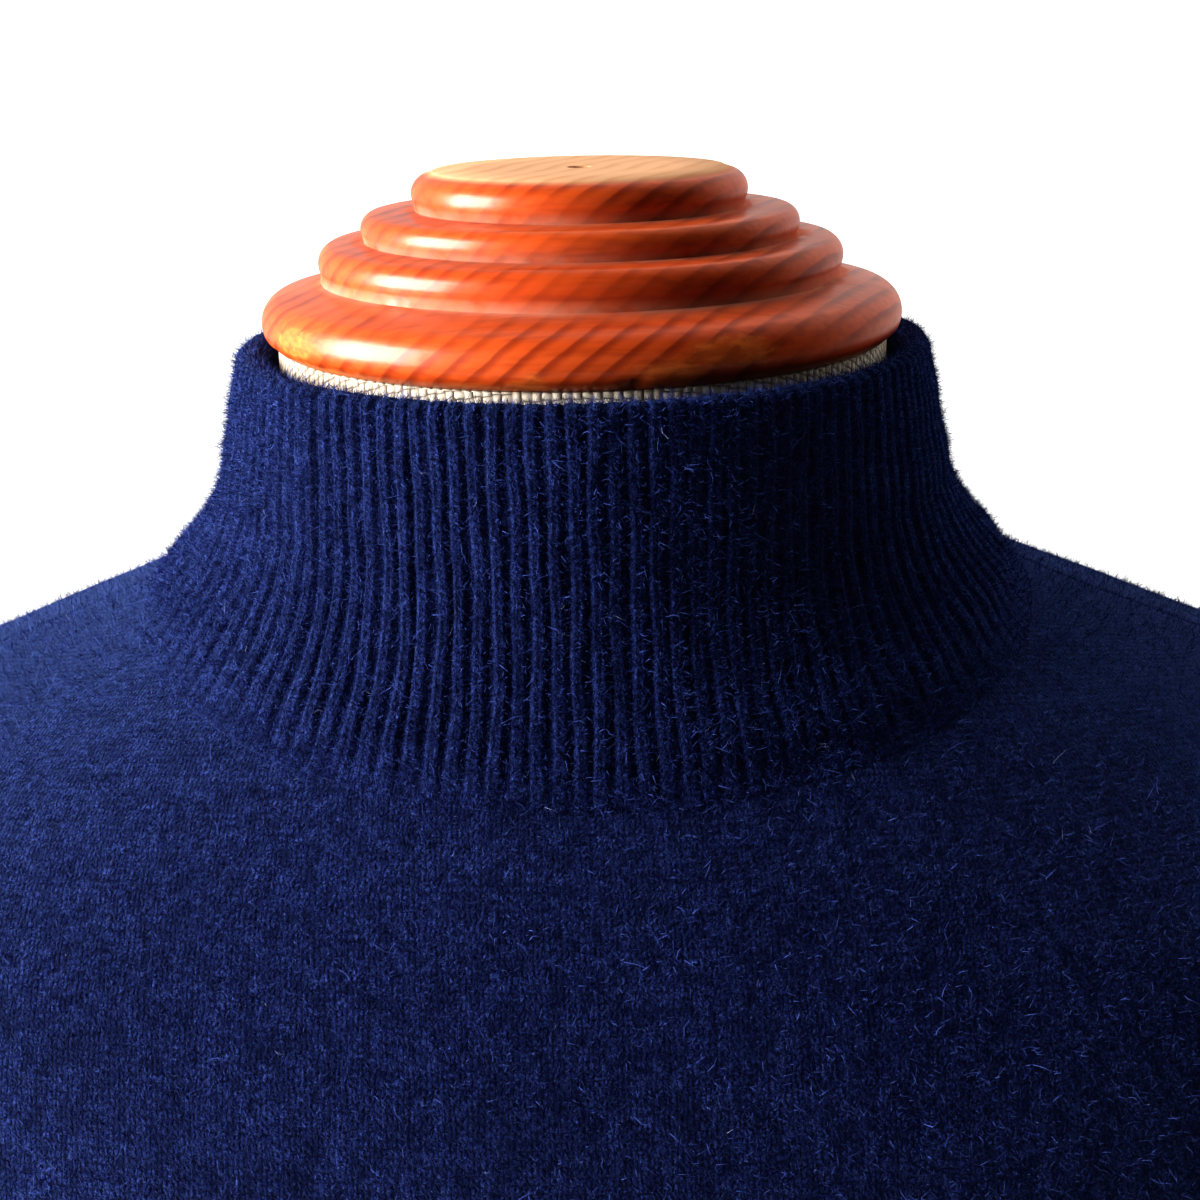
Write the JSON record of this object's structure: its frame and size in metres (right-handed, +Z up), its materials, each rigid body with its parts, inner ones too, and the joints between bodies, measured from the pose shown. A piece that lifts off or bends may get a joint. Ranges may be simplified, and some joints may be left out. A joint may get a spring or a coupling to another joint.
{
  "type": "mock-neck sweater on a dress form",
  "caption": "Navy cashmere mock-neck sweater with a doubled rib collar, hanging with empty sleeves on a linen dress form with a stepped wooden neck cap, a turned pole and a round base.",
  "frame": {"origin": "centre of the base's underside, on the floor under the form's axis", "axes": "+Z up; the front of the sweater faces -Y; +X is the viewer's right from the front"},
  "size_m": [0.4276, 0.33, 1.111],
  "materials": {
    "navy_knit": "brushed cashmere jersey with a soft nap",
    "navy_rib": "brushed cashmere 1x1 rib",
    "linen": "coarse unbleached plain weave",
    "varnished_wood": "red-brown gloss varnish, worn, bare on top"
  },
  "bodies": {
    "root": {"sweater_front": "navy_knit", "sweater_back": "navy_knit", "sleeve_left": "navy_knit", "sleeve_right": "navy_knit", "collar": "navy_rib", "hem_rib": "navy_rib", "cuff_left": "navy_rib", "cuff_right": "navy_rib", "dress_form": "linen", "neck_cap": "varnished_wood", "stand_pole": "varnished_wood", "stand_base": "varnished_wood"}
  },
  "joints": []
}
